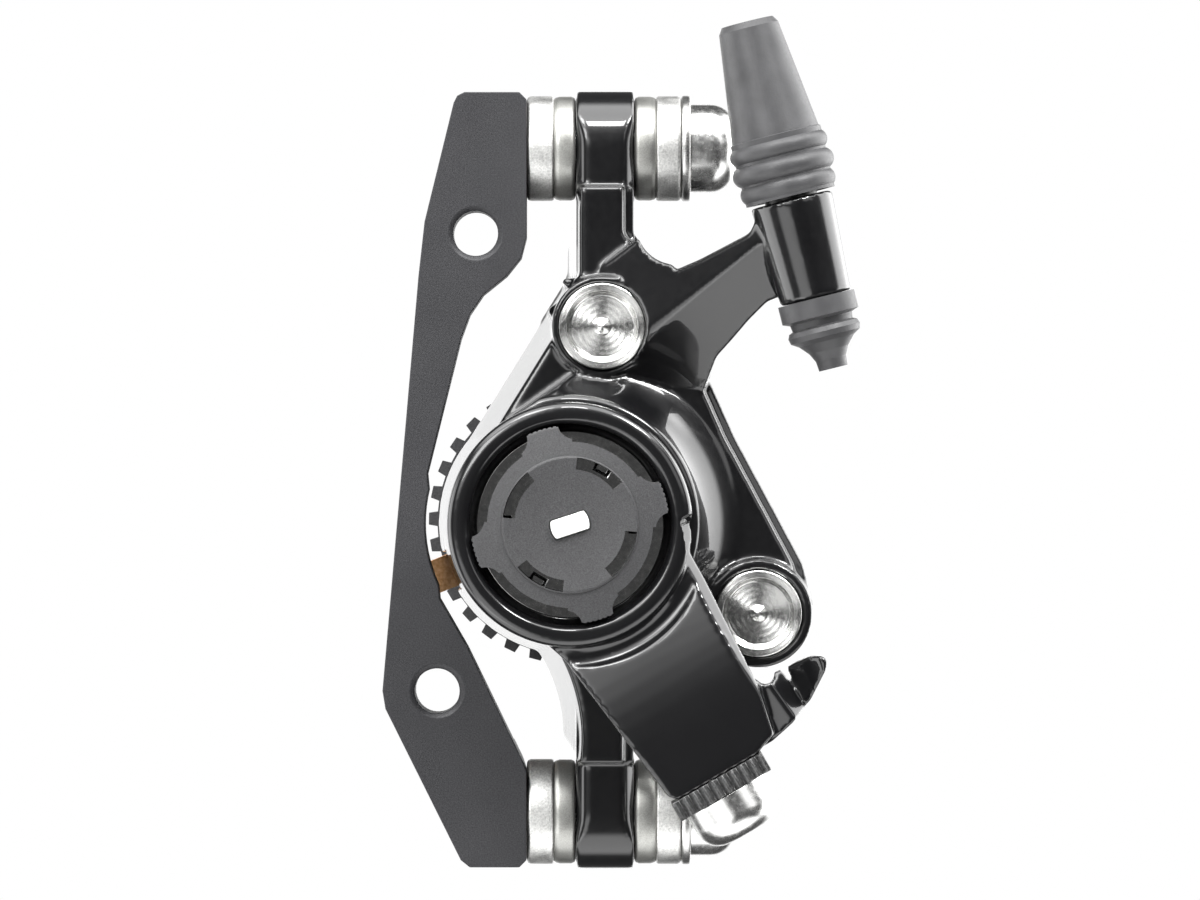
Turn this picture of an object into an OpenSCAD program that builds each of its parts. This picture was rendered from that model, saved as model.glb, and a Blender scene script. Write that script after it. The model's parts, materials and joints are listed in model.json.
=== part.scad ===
// Cable-pulled disc brake caliper on a frame bracket, seen from its outer side.
// Frame: X to the right, Z up, Y into the wheel; the origin is the middle of the
// two frame bolt holes on the bracket's outer face. Modules draw in a "view" frame
// of x right, y up and z toward the viewer; module view() turns it upright.

/* [Mounting] */
// Distance between the two frame bolt holes
frame_pitch = 51; // [50.6:0.2:51.4]
// Tapping bore of a frame bolt hole
frame_bore = 5; // [4.8:0.1:5.2]
// Lean of the frame bolt line from the vertical
frame_lean = 4.8; // [4.5:0.1:5.1]
// Distance between the two caliper mounting bolts
post_pitch = 74; // [73.8:0.1:74.2]
// Height of the middle of the mounting bolts
post_mid = -2; // [-2.1:0.1:-1.9]
// Depth of the mounting bolts behind the bracket's outer face
post_depth = 6.2; // [6.1:0.05:6.3]
// Bracket thickness at its two ends
bracket_t = 12.4; // [12:0.2:12.8]
// Bracket thickness between the ends
web_t = 9.6; // [9:0.2:9.8]
// Right face of the bracket where the washers sit
seat_x = 7.8; // [7.7:0.05:7.9]

/* [Washers and mounting bolts] */
// Outer diameter of the dished washers
washer_d = 11.7; // [11.4:0.1:11.8]
// Rim width of a hollow washer
hollow_t = 3.2; // [3:0.05:3.3]
// Rim width of a domed washer
dome_t = 2.25; // [2.15:0.05:2.35]
// Sphere radius of the dished pair
dish_r = 9; // [8.6:0.1:9.4]
// Thickness of the thin flat washer
flat_t = 1; // [0.9:0.05:1.1]
// Thread diameter of the mounting bolts
bolt_d = 6; // [5.8:0.1:6.2]
// Head diameter of the mounting bolts
head_d = 9.8; // [9.4:0.1:10]
// Head height of the mounting bolts
head_h = 4.9; // [4.6:0.1:5]
// Length of the mounting bolts under the head
bolt_l = 25; // [24:0.5:26]

/* [Caliper body] */
// Brake axis, across
hub_x = 12.67; // [12.6:0.02:12.74]
// Brake axis, height
hub_y = -6.84; // [-6.9:0.02:-6.78]
// Rim radius of the body round the brake axis
body_r = 14.85; // [14.75:0.05:14.95]
// Height of the hub front above the bracket's outer face
hub_h = 7.6; // [7.5:0.05:7.65]
// Width of an ear along its bolt
ear_w = 6.5; // [6.4:0.05:6.6]
// Depth of an ear across its bolt
ear_d = 12.8; // [12.6:0.1:12.8]
// Depth of the middle of the disc slot behind the bracket's outer face
disc_y = 15.3; // [15.2:0.05:15.4]
// Width of the disc slot
slot_w = 5.6; // [5.4:0.1:5.8]
// Radius from the wheel axis at which the bridge starts
bridge_r = 82.3; // [82:0.1:82.6]
// Depth of the inner half's back behind the bracket's outer face
back_y = 33; // [32.8:0.1:33.2]
// Bore for the ramp mechanism
bore_r = 10.8; // [10.75:0.01:10.85]

/* [Cable stop] */
// Lean of the cable stop from the vertical
stop_lean = 14; // [13:0.5:15]
// Height of the cable line in front of the bracket's outer face
cable_h = 10.4; // [10.3:0.05:10.5]
// Top radius of the stop tube
stop_r = 4.65; // [4.55:0.05:4.75]
// Thread radius of the barrel adjuster
barrel_r = 3; // [2.9:0.05:3.05]
// Bore for the cable casing
casing_d = 5.2; // [5:0.1:5.4]

/* [Lever arm] */
// Direction of the arm
arm_turn = -60; // [-61:0.5:-59]
// Length of the arm from the brake axis to its end face
arm_l = 32; // [31.6:0.1:32.4]
// Outer radius of the arm's ring
ring_r = 13.5; // [13.4:0.05:13.6]
// Radius of the arm's cup for the knob
cup_r = 11.1; // [11.1:0.05:11.3]
// Anchor bolt head diameter
anchor_d = 9.8; // [9.4:0.1:10]

/* [Knobs] */
// Lobe radius of the outer knob
lobe_r = 10.9; // [10.6:0.05:10.95]
// Rim radius of the outer knob between its lobes
rim_r = 9.1; // [8.9:0.05:9.3]
// Disc radius of the outer knob
disc_r = 7.5; // [7.45:0.05:7.6]
// Tip radius of the inner knob's teeth
tooth_r = 16.3; // [16:0.1:16.8]
// Number of teeth round the inner knob
teeth = 33; // [30:1:36]

/* [Ramps and pads] */
// Radius of the ball circle
ball_c = 8; // [7.95:0.05:8.05]
// Ball radius
ball_r = 1.75; // [1.7:0.05:1.8]
// Full turn of the arm in degrees
arm_throw = 35; // [32:1:36]
// Travel of the ramp over the full turn
ramp_rise = 1; // [0.9:0.05:1]
// Radius of a pad's backing plate
pad_r = 12.6; // [12.4:0.05:12.7]
// Thickness of a pad's backing plate
plate_t = 1.8; // [1.7:0.05:1.9]
// Thickness of a pad's lining
lining_t = 2.1; // [2:0.05:2.2]
// Distance between the two linings
pad_gap = 2.8; // [2.75:0.05:2.9]

/* [Hidden] */
$fn = 96;
// clearance of a piece that runs, sits in a tapped hole or is pressed in
run = 0.05;
seat = 0.02;
eps = 0.4;

post_up = post_mid + post_pitch / 2;
post_dn = post_mid - post_pitch / 2;
ax = frame_pitch / 2 * sin(frame_lean);
ay = frame_pitch / 2 * cos(frame_lean);

// stations along a mounting bolt
s_hollow = seat_x + hollow_t;
s_ear = s_hollow + dome_t + seat;
s_ear2 = s_ear + ear_w;
s_dome2 = s_ear2 + seat + dome_t;
s_hollow2 = s_dome2 + hollow_t - 0.2;
s_head = s_hollow2 + flat_t;

// heights toward the viewer (minus Y)
slot_front = -disc_y + slot_w / 2;
slot_back = -disc_y - slot_w / 2;
body_h = 0.2;
race_h = 4.2;
race_t = 2.8;
ball_h = race_h - race_t - 0.9;
cam_h = ball_h - 0.9;
cam_t = 3;
wash_h = cam_h - cam_t - run;
wash_t = 0.85;
wave_t = 1.7;
clip_h = wash_h - wash_t - wave_t - 0.1;
clip_t = 0.9;
arm_h = hub_h + ramp_rise + 0.2;
floor_t = 1.8;
arm_top = 14.4;
knob_h = 12.4;
knob_top = 15.6;
lining_h = -disc_y + pad_gap / 2;
plate_h = lining_h + lining_t;
foot_h = plate_h + plate_t + run;
foot_t = 1.5;
// pocket for a brake pad, with room round the plate
pad_room = 0.4;
pocket_r = pad_r + pad_room;
inner_h = -disc_y - pad_gap / 2;
foot2_h = inner_h - lining_t - plate_t - run;
step_h = -back_y + 4;
spigot_l = 2.2;
knob2_t = 5;

// the wheel axis and the body bolts, in the view frame
wheel = [-50.93, -40.64];
bolt_a = [16.2, 15.04];
bolt_b = [33.5, -16.75];
stop_top = [37.0, 28.9];
spine = [24.9, 17.2];

// turns the view frame upright
module view() rotate([90, 0, 0]) children();
module slab(z0, z1) translate([0, 0, z0]) linear_extrude(z1 - z0) children();
module at_hub() translate([hub_x, hub_y, 0]) children();
module at_arm() at_hub() rotate([0, 0, arm_turn]) children();
module at_bolts() {
  translate([bolt_a[0], bolt_a[1], 0]) children();
  translate([bolt_b[0], bolt_b[1], 0]) children();
}
// origin on the top of the stop tube, z up along the cable
module at_stop() translate([stop_top[0], stop_top[1], cable_h])
  rotate([0, 0, stop_lean]) rotate([-90, 0, 0]) children();
// a turned piece on a mounting bolt, profile as radius and x
module on_bolt(y) translate([0, y, -post_depth]) rotate([0, 90, 0]) children();
module on_bolts() {
  on_bolt(post_up) children();
  on_bolt(post_dn) children();
}
module tube(r1, r0, h) difference() {
  cylinder(r = r1, h = h);
  translate([0, 0, -eps]) cylinder(r = r0, h = h + 2 * eps);
}
// a sector of a ring, about an angle
module sector(r1, r0, mid, wide) intersection() {
  difference() {
    circle(r = r1);
    circle(r = r0);
  }
  rotate(mid) polygon([[0, 0], [2 * r1, -2 * r1 * tan(wide / 2)],
    [2 * r1, 2 * r1 * tan(wide / 2)]]);
}

// Bracket
module bracket_plan() difference() {
  polygon([[0.9, 41.1], [7, 41.1], [seat_x, 40.3], [seat_x, -44.2], [7, -45],
    [1.5, -45], [0.5, -44.2], [-7.87, -27.4], [-8.2, -25.4], [-5.9, 1.7],
    [-4.2, 20.7], [-3.53, 26.7], [-0.3, 39.9], [0.1, 40.7]]);
  at_hub() circle(r = body_r + 1.35);
  polygon([[-3.25, -1.3], [0.5, 13.7], [1.5, 16.4], [3, 18.6], [5.6, 20.7],
    [7.2, 22.7], [seat_x, 25], [20, 25], [20, -34.4], [seat_x, -34.4],
    [7.3, -33], [1.26, -20.6], [-1.86, -15.2]]);
}
sink_t = 0.4;
module adapter_bracket() color([0.17, 0.17, 0.18]) view() difference() {
  slab(-bracket_t, 0) bracket_plan();
  // the middle is thinner than the ends
  slab(-bracket_t - eps, -web_t) translate([-20, -31]) square([40, 62]);
  for (s = [-1, 1]) translate([s * ax, s * ay, -20]) {
    cylinder(d = frame_bore, h = 40);
    translate([0, 0, 20 - sink_t]) cylinder(d1 = frame_bore, d2 = frame_bore + 2, h = 2 * sink_t);
  }
  on_bolts() translate([0, 0, -20]) cylinder(d = bolt_d, h = 40);
}

// Mounting hardware: bolts and the self-aligning washers
module mount_bolt() {
  translate([0, 0, s_head - bolt_l]) cylinder(d = bolt_d - 2 * run, h = bolt_l + eps);
  difference() {
    translate([0, 0, s_head]) rotate_extrude() intersection() {
      union() {
        square([head_d / 2, head_h * 0.45]);
        translate([head_d / 2 - 3, head_h * 0.45]) circle(r = 3);
        square([head_d / 2 - 3, head_h]);
      }
      square([head_d, head_h]);
    }
    translate([0, 0, s_head + head_h - 2.6]) cylinder(d = 5.8, h = 4, $fn = 6);
  }
}
module mount_bolts() color([0.8, 0.8, 0.79]) view() on_bolts() mount_bolt();

// ball surface of a washer pair: its centre lies beyond the rim by the drop
drop = sqrt(dish_r * dish_r - washer_d * washer_d / 4);
module hollow_cut(rim, dir) translate([0, 0, rim + dir * drop]) sphere(r = dish_r);
module hollow_washer(z0, z1, rim, dir) difference() {
  translate([0, 0, z0]) cylinder(d = washer_d, h = z1 - z0);
  hollow_cut(rim, dir);
  translate([0, 0, z0 - eps]) cylinder(d = bolt_d + 0.6, h = z1 - z0 + 2 * eps);
}
module domed_washer(z0, z1, rim, dir) difference() {
  intersection() {
    translate([0, 0, z0]) cylinder(d = washer_d - 0.1, h = z1 - z0);
    translate([0, 0, rim + dir * drop]) sphere(r = dish_r - seat);
  }
  translate([0, 0, z0 - eps]) cylinder(d = bolt_d + 0.6, h = z1 - z0 + 2 * eps);
}
module hollow_washers() color([0.72, 0.72, 0.7]) view() on_bolts() {
  hollow_washer(seat_x, s_hollow, s_hollow, 1);
  hollow_washer(s_dome2, s_hollow2, s_dome2, -1);
}
module domed_washers() color([0.55, 0.55, 0.53]) view() on_bolts() {
  domed_washer(seat_x + 1, s_ear - seat, s_hollow, 1);
  domed_washer(s_ear2 + seat, s_hollow2 - 1, s_dome2, -1);
}
module flat_washers() color([0.75, 0.75, 0.74]) view() on_bolts()
  translate([0, 0, s_hollow2]) tube(washer_d / 2 + 0.05, bolt_d / 2 + 0.2, flat_t);

// Outer half of the body
// an ear: a rounded end about the bolt, front edges bevelled
module ear(y, toward, reach) {
  ear_mid = (s_ear + s_ear2) / 2;
  difference() {
    intersection() {
      translate([s_ear, y, -post_depth]) rotate([0, 90, 0]) linear_extrude(ear_w) {
        circle(d = ear_d);
        translate([-ear_d / 2, toward > 0 ? 0 : -reach]) square([ear_d, reach]);
      }
      translate([ear_mid, y - 40, -post_depth]) rotate([-90, 0, 0]) linear_extrude(80)
        polygon([[-ear_w / 2, 8], [-ear_w / 2, -ear_d / 2 + 1.1],
          [-ear_w / 2 + 1.1, -ear_d / 2], [ear_w / 2 - 1.1, -ear_d / 2],
          [ear_w / 2, -ear_d / 2 + 1.1], [ear_w / 2, 8]]);
    }
    // slotted bolt hole that lets the body be centred on the disc
    on_bolt(y) linear_extrude(60) {
      translate([1, 0]) circle(r = bolt_d / 2 + 0.5);
      translate([-1, 0]) circle(r = bolt_d / 2 + 0.5);
      translate([-1, -bolt_d / 2 - 0.5]) square([2, bolt_d + 1]);
    }
  }
}
// plan of the web that joins hub, bolts and ears, clear of the washers
room_up = post_up - washer_d / 2 - 0.5;
room_dn = post_dn + washer_d / 2 + 0.5;
module web_plan(in) difference() {
  union() {
    polygon([[4, -2], [0.7 + in, 2.05], [11.6 + in, 19.6], [12.3 + in, 21.2], [12.3 + in, room_up - 1.4],
      [s_ear + in * 0.4, room_up], [s_ear + in * 0.4, 30.6], [s_ear2 - in, 30.6], [s_ear2 - in, 25.4],
      [22, 21], [28.6 - in, 21], [28.9 - in, 11.4], [28.1 - in, 9.2],
      [31 - in, 2.7], [35.3 - in, -5.3], [38.5 - in, -11.3], [39.6 - in, -15.4],
      [39.6 - in, -17.4], [34.5, -22.9 + in], [29.5, -21.6 + in], [26, -22.2 + in],
      [22.3, -25.4 + in], [s_ear2 - in, -30], [s_ear2 - in, -33.4],
      [s_ear + in * 0.3, -33.4], [s_ear + in * 0.3, room_dn], [12.6 + in, -31.8], [11.6 + in, -30.5],
      [11.5 + in, -29.5], [11.1 + in, -26.6], [10.1 + in, -23.8], [8.6 + in, -21],
      [8.1 + in, -20.2], [8, -14]]);
    translate(bolt_a) circle(r = 5.6 - in / 3);
    translate(bolt_b) circle(r = 6.1 - in / 3);
  }
  translate([24.4, 26.2]) circle(r = 4.35 + in);
}
// plan of the arm that carries the cable stop
module stop_plan() difference() {
  polygon([[10, 17], [21, 25.4], [24.4, 21.3], [27, 22.4], [32.4, 25.2], [33.6, 27.8],
    [39, 27.5], [40, 20], [36.2, 18.4], [34.4, 17.7], [32.4, 15.7], [30.7, 13.7],
    [28.9, 11.7], [26, 4], [17, 6]]);
  translate([24.4, 26.2]) circle(r = 4.35);
}
module stop_arm() intersection() {
  slab(-13, 16) stop_plan();
  // side view of the arm: it leaves the web and climbs to the cable line
  translate([spine[0], spine[1], 0]) rotate([0, 0, 38.5]) rotate([90, 0, 0])
    linear_extrude(60, center = true) polygon([[-16, -12.5], [-16, 0], [-6, 4.6],
      [14, 13.4], [20, 13.6], [20, 6.6], [12, 6.2], [7, 1.2], [1, -4.4],
      [-1, -12.5]]);
  // roof with one crisp ridge
  translate([spine[0], spine[1], 7.4]) rotate([0, 0, 38.5]) rotate([0, -23, 0])
    rotate([90, 0, 90]) linear_extrude(80, center = true)
      polygon([[0, 0], [-9, -3.9], [-9, -40], [9, -40], [9, -3.6]]);
}
// turned outside of the hub: a cone that leans in toward the viewer
draft = 1.7;
dome_r = body_r - 2.45;
module hub_dome() rotate_extrude() polygon([[0, slot_front], [body_r, slot_front],
  [body_r - draft, body_h], [dome_r, hub_h - 0.9], [dome_r - 0.15, hub_h - 0.3],
  [dome_r - 0.45, hub_h], [0, hub_h]]);
// hollow flare from the hub down to the web
module hub_flare() intersection() {
  linear_extrude(hub_h) intersection() {
    web_plan(1.2);
    polygon([[5.2, 4.2], [14.2, 10.6], [19, 14], [30, 14], [37, -8], [33, -19.5], [24, -25],
      [15, -20], [12, -12], [4, -2]]);
  }
  at_hub() rotate_extrude() difference() {
    polygon([[6, 0.3], [20.5, 0.3], [20.5, 2], [15, 6.6], [14.2, 7.1], [13.5, 7.3], [6, 7.3]]);
    translate([22.8, 9.67]) circle(r = 9);
  }
}
// what is taken off the web so that its left walls lean in toward the viewer
module draft_cuts() {
  // along the slanted left wall; the section is across the wall and height
  translate([left_a[0], left_a[1], 0]) rotate([0, 0, left_turn]) rotate([90, 0, 90])
    translate([0, 0, -5]) linear_extrude(left_len + 5.3)
      polygon([[6, slot_front - 1], [0, slot_front - 1], [-lean(2), top_cut], [6, top_cut]]);
  // the hollow below the hub
  translate([-5.7, -30.7, 0]) rotate([0, 0, -8]) rotate_extrude(angle = 46)
    polygon([[8, slot_front - 1], [17.3, slot_front - 1], [17.3 + lean(2), top_cut], [8, top_cut]]);
  // left of the upper ear
  translate([12.3, 20.4, 0]) rotate([90, 0, 180]) linear_extrude(9.4)
    polygon([[4, slot_front - 1], [0, slot_front - 1], [-lean(1.2), top_cut], [4, top_cut]]);
}
top_cut = 12;
// shift of a wall at the top of the cuts, from its lean over the web's depth
function lean(d) = d * (top_cut - slot_front + 1) / (body_h - slot_front);
left_a = [0.05, 1];
left_turn = 58.2;
left_len = 21.9;
module stop_tube() {
  translate([0, 0, -11.2]) cylinder(r1 = stop_r - 0.65, r2 = stop_r, h = 11.2);
}
module pad_pocket(z0, z1) at_hub() {
  translate([0, 0, z0]) cylinder(r = pocket_r, h = z1 - z0);
  // notch through the rim for the pad's pull tab
  rotate([0, 0, tab_turn]) translate([pocket_r - 1.5, -tab_w / 2 - 0.3, z0 + 0.01])
    cube([20, tab_w + 0.6, z1 - z0]);
}
tab_turn = 201.7;
tab_w = 3.7;
tab_l = 16.9;

module outer_body() color([0.05, 0.05, 0.055]) view() difference() {
  union() {
    difference() {
      union() {
        slab(slot_front, body_h) web_plan(0);
        slab(body_h - eps, body_h + 1.4) web_plan(1.2);
        hub_flare();
      }
      draft_cuts();
    }
    at_hub() hub_dome();
    ear(post_up, -1, 14);
    ear(post_dn, 1, 12);
    stop_arm();
    at_stop() stop_tube();
    // bosses round the body bolts
    translate([bolt_a[0], bolt_a[1], slot_front]) cylinder(r = 5.6, h = 3.4 - slot_front);
    translate([bolt_b[0], bolt_b[1], slot_front]) cylinder(r = 6, h = 3.2 - slot_front);
    // half of the bridge over the disc's edge
    slab(-disc_y, slot_front + eps) bridge_plan();
  }
  // stepped bore: seal, ramps, pad pocket and the spring groove in the front
  at_hub() {
    translate([0, 0, slot_front - 5]) cylinder(r = bore_r, h = race_h - slot_front + 5);
    cylinder(r = 5.5, h = 20);
    translate([0, 0, 5.6]) cylinder(r = seal_r, h = 20);
    translate([0, 0, 5.4]) tube(11.2, 8.2, 10);
    // groove of the bore clip
    translate([0, 0, clip_h - clip_t - run]) cylinder(r = bore_r + 0.7, h = clip_t + 2 * run);
    // keyways of the thrust washer
    for (a = [0, 120, 240]) rotate([0, 0, a]) translate([bore_r - 1, -1.1, slot_front - 1])
      cube([1.7, 2.2, wash_h + 0.1 - slot_front + 1]);
  }
  pad_pocket(-disc_y - 1, plate_h + plate_t + 1.8);
  // counterbored seats of the body sleeves
  at_bolts() {
    translate([0, 0, -60]) cylinder(r = sleeve_r + seat, h = 120);
    translate([0, 0, 0.4]) cylinder(r = sleeve_head_r + seat, h = 20);
  }
  // bore for the barrel adjuster and the cable
  at_stop() translate([0, 0, -12]) cylinder(r = barrel_r, h = 13);
}
seal_r = 6.4;
sleeve_r = 3.6;
sleeve_head_r = 4.8;

// plan of the bridge: what lies beyond the disc's edge
module bridge_plan() difference() {
  intersection() {
    union() {
      web_plan(0);
      stop_foot();
    }
    translate([-20, -24]) square([80, 48]);
  }
  translate(wheel) circle(r = bridge_r);
}
module stop_foot() polygon([[20, 20], [27, 20], [27, 10], [20, 10]]);

// Inner half of the body
module inner_plan() {
  polygon([[1.2, 0.2], [11.6, 17.4], [20.2, 17.8], [28, 10.4], [30.6, 2.7],
    [35.1, -5.5], [38.8, -15], [33, -22.2], [28, -21.4], [18, -19.6]]);
  translate(bolt_a) circle(r = 5.6);
  translate(bolt_b) circle(r = 6);
}
module inner_body() color([0.05, 0.05, 0.055]) view() difference() {
  union() {
    slab(slot_back - 8, slot_back) inner_plan();
    slab(slot_back - eps, -disc_y) difference() {
      inner_plan();
      translate(wheel) circle(r = bridge_r);
    }
    at_hub() rotate_extrude() intersection() {
      union() {
        polygon([[0, slot_back], [body_r - 0.2, slot_back], [body_r - 0.4, step_h],
          [body_r - 2.4, -back_y + 1], [body_r - 3.4, -back_y], [9, -back_y],
          [9, -back_y - spigot_l], [0, -back_y - spigot_l]]);
        translate([body_r - 3.4, -back_y + 2]) circle(r = 2);
      }
      translate([0, -60]) square([40, 80]);
    }
    at_bolts() translate([0, 0, step_h]) cylinder(r = 5.2, h = slot_back - step_h - 1);
    // ribs from the hub to the bolts
    for (b = [bolt_a, bolt_b]) at_hub() rotate([0, 0, atan2(b[1] - hub_y, b[0] - hub_x)])
      translate([0, -2.2, step_h + 1.5]) cube([20, 4.4, slot_back - step_h - 2]);
  }
  pad_pocket(foot2_h - foot_t - 0.3, 0);
  at_hub() translate([0, 0, -60]) cylinder(r = thread2_r, h = 60 + foot2_h);
  at_bolts() {
    translate([0, 0, -60]) cylinder(r = bolt_d / 2 + 0.1, h = 60);
    translate([0, 0, -60]) cylinder(r = 4.4, h = 60 + step_h + 0.8);
  }
}

// Body fasteners: turned sleeve nuts in front, socket screws from behind
module body_sleeves() color([0.82, 0.82, 0.8]) view() at_bolts() difference() {
  union() {
    translate([0, 0, -9]) cylinder(r = sleeve_r, h = 12);
    translate([0, 0, 0.4]) cylinder(r = sleeve_head_r, h = 3.4);
  }
  // turned recess with a centre cone
  translate([0, 0, 2.9]) rotate_extrude()
    polygon([[0.9, 0], [3.5, 0], [3.9, 0.5], [3.9, 2], [0, 2], [0, 0.7]]);
  translate([0, 0, -9 - eps]) cylinder(r = bolt_d / 2, h = 10);
}
module body_screws() color([0.7, 0.7, 0.7]) view() at_bolts() difference() {
  union() {
    translate([0, 0, step_h + 0.8 - eps]) cylinder(d = bolt_d - 2 * run, h = -step_h - 1);
    translate([0, 0, step_h - 1.6]) cylinder(r = 4.2, h = 2.4);
  }
  translate([0, 0, step_h - 2]) cylinder(d = 4.6, h = 2, $fn = 6);
}

// Lever
module arm_plan() {
  circle(r = ring_r - 0.8);
  polygon([[0, -12.6], [6.8, -9.9], [12.7, -7.9], [arm_l - 0.8, -5.6],
    [arm_l, -4.8], [arm_l, 5.2], [arm_l - 1, 7.9], [26, 9], [12.6, 9.85], [7, 9.9],
    [0, 12.6]]);
}
module hook_plan() difference() {
  polygon([[20, 6], [25, 9], [25.6, 15.6], [26.3, 16.8], [27, 17], [27.8, 16.4],
    [29.9, 13.3], [31.1, 10.2], [31.7, 7.4], [arm_l - 0.2, 4], [22, 4]]);
  translate([25, 10.3]) circle(r = 1);
}
module lever_arm() color([0.05, 0.05, 0.055]) view() difference() {
  union() {
    at_arm() intersection() {
      slab(0, 20) arm_plan();
      // side view: level below, gently arched on top
      rotate([90, 0, 0]) linear_extrude(60, center = true) intersection() {
        polygon([[5, arm_h], [13, arm_h], [19, arm_mid - arm_t / 2],
          [arm_l + 1, arm_mid - arm_t / 2], [arm_l + 1, arm_mid + arm_t], [5, arm_mid + arm_t]]);
        translate([arm_l - 3.6, arm_mid + arm_t / 2 - arch_r]) circle(r = arch_r, $fn = 360);
      }
    }
    // raised ring with rounded edges round the knob's cup
    at_hub() translate([0, 0, arm_h]) rotate_extrude() union() {
      polygon([[0, 0.5], [0.5, 0], [ring_r - 0.6, 0], [ring_r - 0.1, 0.6],
        [ring_r, ring_t - 1], [0, ring_t - 1]]);
      polygon([[0, 1], [ring_r, 1], [ring_r, ring_t - 0.9], [ring_r - 0.9, ring_t], [0, ring_t]]);
      translate([ring_r - 1, ring_t - 1]) circle(r = 0.98);
    }
    // hook whose top rises away from the arm
    at_arm() intersection() {
      slab(arm_h + 2, 20) hook_plan();
      rotate([90, 0, 90]) linear_extrude(40)
        polygon([[0, 5], [20, 5], [20, hook_h + 2], [8, hook_h], [0, hook_h]]);
    }
  }
  // groove between the ring and the arm's top
  at_hub() translate([0, 0, arm_top - 0.1]) rotate_extrude() translate([ring_r + 1.15, 0])
    circle(r = 1.3);
  // long bevel down the arm's right edge
  at_arm() translate([12.8, 8.55, arm_top - 0.9]) rotate([0, -7.6, 0]) rotate([-50, 0, 0])
    translate([-7, 0, 0]) cube([28, 6, 6]);
  at_hub() translate([0, 0, arm_h + floor_t]) cylinder(r = cup_r, h = 20);
  // eased mouth of the cup
  at_hub() translate([0, 0, arm_top - 0.6]) cylinder(r1 = cup_r - 0.1, r2 = cup_r + 1.2, h = 1.3);
  at_hub() intersection() {
    cylinder(r = 4.8 + seat, h = 20);
    translate([-10, -4.2 - seat, 0]) cube([20, 8.4 + 2 * seat, 20]);
  }
  // tapped hole of the anchor bolt
  at_arm() translate([arm_l + 1, 0, arm_mid]) rotate([0, -90, 0])
    cylinder(r = 2.5, h = 14);
}
arm_mid = 10.9;
arm_t = 8.4;
ring_t = arm_top - arm_h;
arch_r = 69;
hook_h = 12.7;
module clamp_plate() color([0.25, 0.25, 0.26]) view() at_arm() difference() {
  translate([arm_l + 0.05, -5.7, arm_mid - 4.4]) cube([2.2, 11.4, 8.8]);
  translate([arm_l - 1, 0, arm_mid]) rotate([0, 90, 0]) cylinder(r = 2.6, h = 6);
  // teeth along the edge that grips the cable
  for (i = [-4:4]) translate([arm_l + 0.05, i * 1.2, arm_mid + 4.4])
    rotate([0, 90, 0]) rotate([0, 0, 45]) translate([-0.35, -0.35, -1]) cube([0.7, 0.7, 5]);
}
module anchor_bolt() color([0.8, 0.8, 0.79]) view() at_arm()
  translate([arm_l + 2.3, 0, arm_mid]) rotate([0, 90, 0]) difference() {
    union() {
      translate([0, 0, -13]) cylinder(r = 2.5 - run, h = 14);
      rotate_extrude() intersection() {
        union() {
          square([anchor_d / 2, 2.2]);
          translate([anchor_d / 2 - 2.6, 2.2]) circle(r = 2.6);
          square([anchor_d / 2 - 2.6, 4.8]);
        }
        square([10, 4.8]);
      }
    }
    translate([0, 0, 2.2]) cylinder(d = 5.8, h = 4, $fn = 6);
  }
module arm_nut() color([0.78, 0.78, 0.76]) view() at_hub()
  translate([0, 0, arm_h + floor_t + seat]) difference() {
    union() {
      cylinder(r = 10.4, h = 0.5);
      cylinder(r = 7.6, h = 1.3);
    }
    translate([0, 0, -eps]) cylinder(r = 4.8 + run, h = 3);
    // spanner notches
    for (a = [0:60:300]) rotate([0, 0, a]) translate([6.6, -0.8, 0.5]) cube([3, 1.6, 2]);
  }

// Ramp mechanism
ramp_lean = atan(ramp_rise / 2 / (ball_c * arm_throw / 2 * PI / 180));
// grooves for the balls, tilted so that a turn lifts the cam off the race;
// from is where they start: the ball rolls one way in the race, the other in the cam
module ramp_cut(from) {
  for (a = [30, 150, 270]) rotate([0, 0, a]) translate([0, 0, ball_h])
    rotate([-ramp_lean, 0, 0]) rotate([0, 0, from])
      rotate_extrude(angle = ramp_span) translate([ball_c, 0]) circle(r = ball_r + run);
}
ramp_end = asin(ball_r / ball_c) + 1.5;
ramp_span = arm_throw / 2 + 2 * ramp_end;
module fixed_race() color([0.6, 0.6, 0.6]) view() at_hub() difference() {
  translate([0, 0, race_h - race_t - seat]) tube(bore_r - seat, 5.5, race_t);
  ramp_cut(-ramp_end);
}
module ball_cage() color([0.76, 0.62, 0.32]) view() at_hub() difference() {
  translate([0, 0, ball_h - 0.4]) tube(bore_r - 0.4, 5.6, 1.1);
  for (a = [30, 150, 270]) rotate([0, 0, a]) translate([ball_c, 0, ball_h - 2])
    cylinder(r = ball_r + run, h = 4);
}
module ramp_balls() color([0.85, 0.85, 0.86]) view() at_hub()
  for (a = [30, 150, 270]) rotate([0, 0, a]) translate([ball_c, 0, ball_h])
    sphere(r = ball_r);
module drive_cam() color([0.6, 0.6, 0.6]) view() at_hub() difference() {
  union() {
    translate([0, 0, cam_h - cam_t]) cylinder(r = bore_r - 0.15, h = cam_t);
    translate([0, 0, cam_h - eps]) cylinder(r = 5.2, h = arm_h - cam_h + eps - seat);
    // flats that drive the arm, with a thread above them
    intersection() {
      translate([0, 0, arm_h - 1]) cylinder(r = 4.8, h = knob_h - 0.3 - arm_h + 1);
      translate([-10, -4.2, 0]) cube([20, 8.4, 40]);
    }
  }
  ramp_cut(ramp_end - ramp_span);
  translate([0, 0, cam_h - cam_t - eps]) cylinder(r = 3.5, h = 30);
}
module shaft_seal() color([0.1, 0.1, 0.1]) view() at_hub()
  translate([0, 0, 5.6 + seat]) tube(seal_r - seat, 5.2 + run, 1.7);
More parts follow.
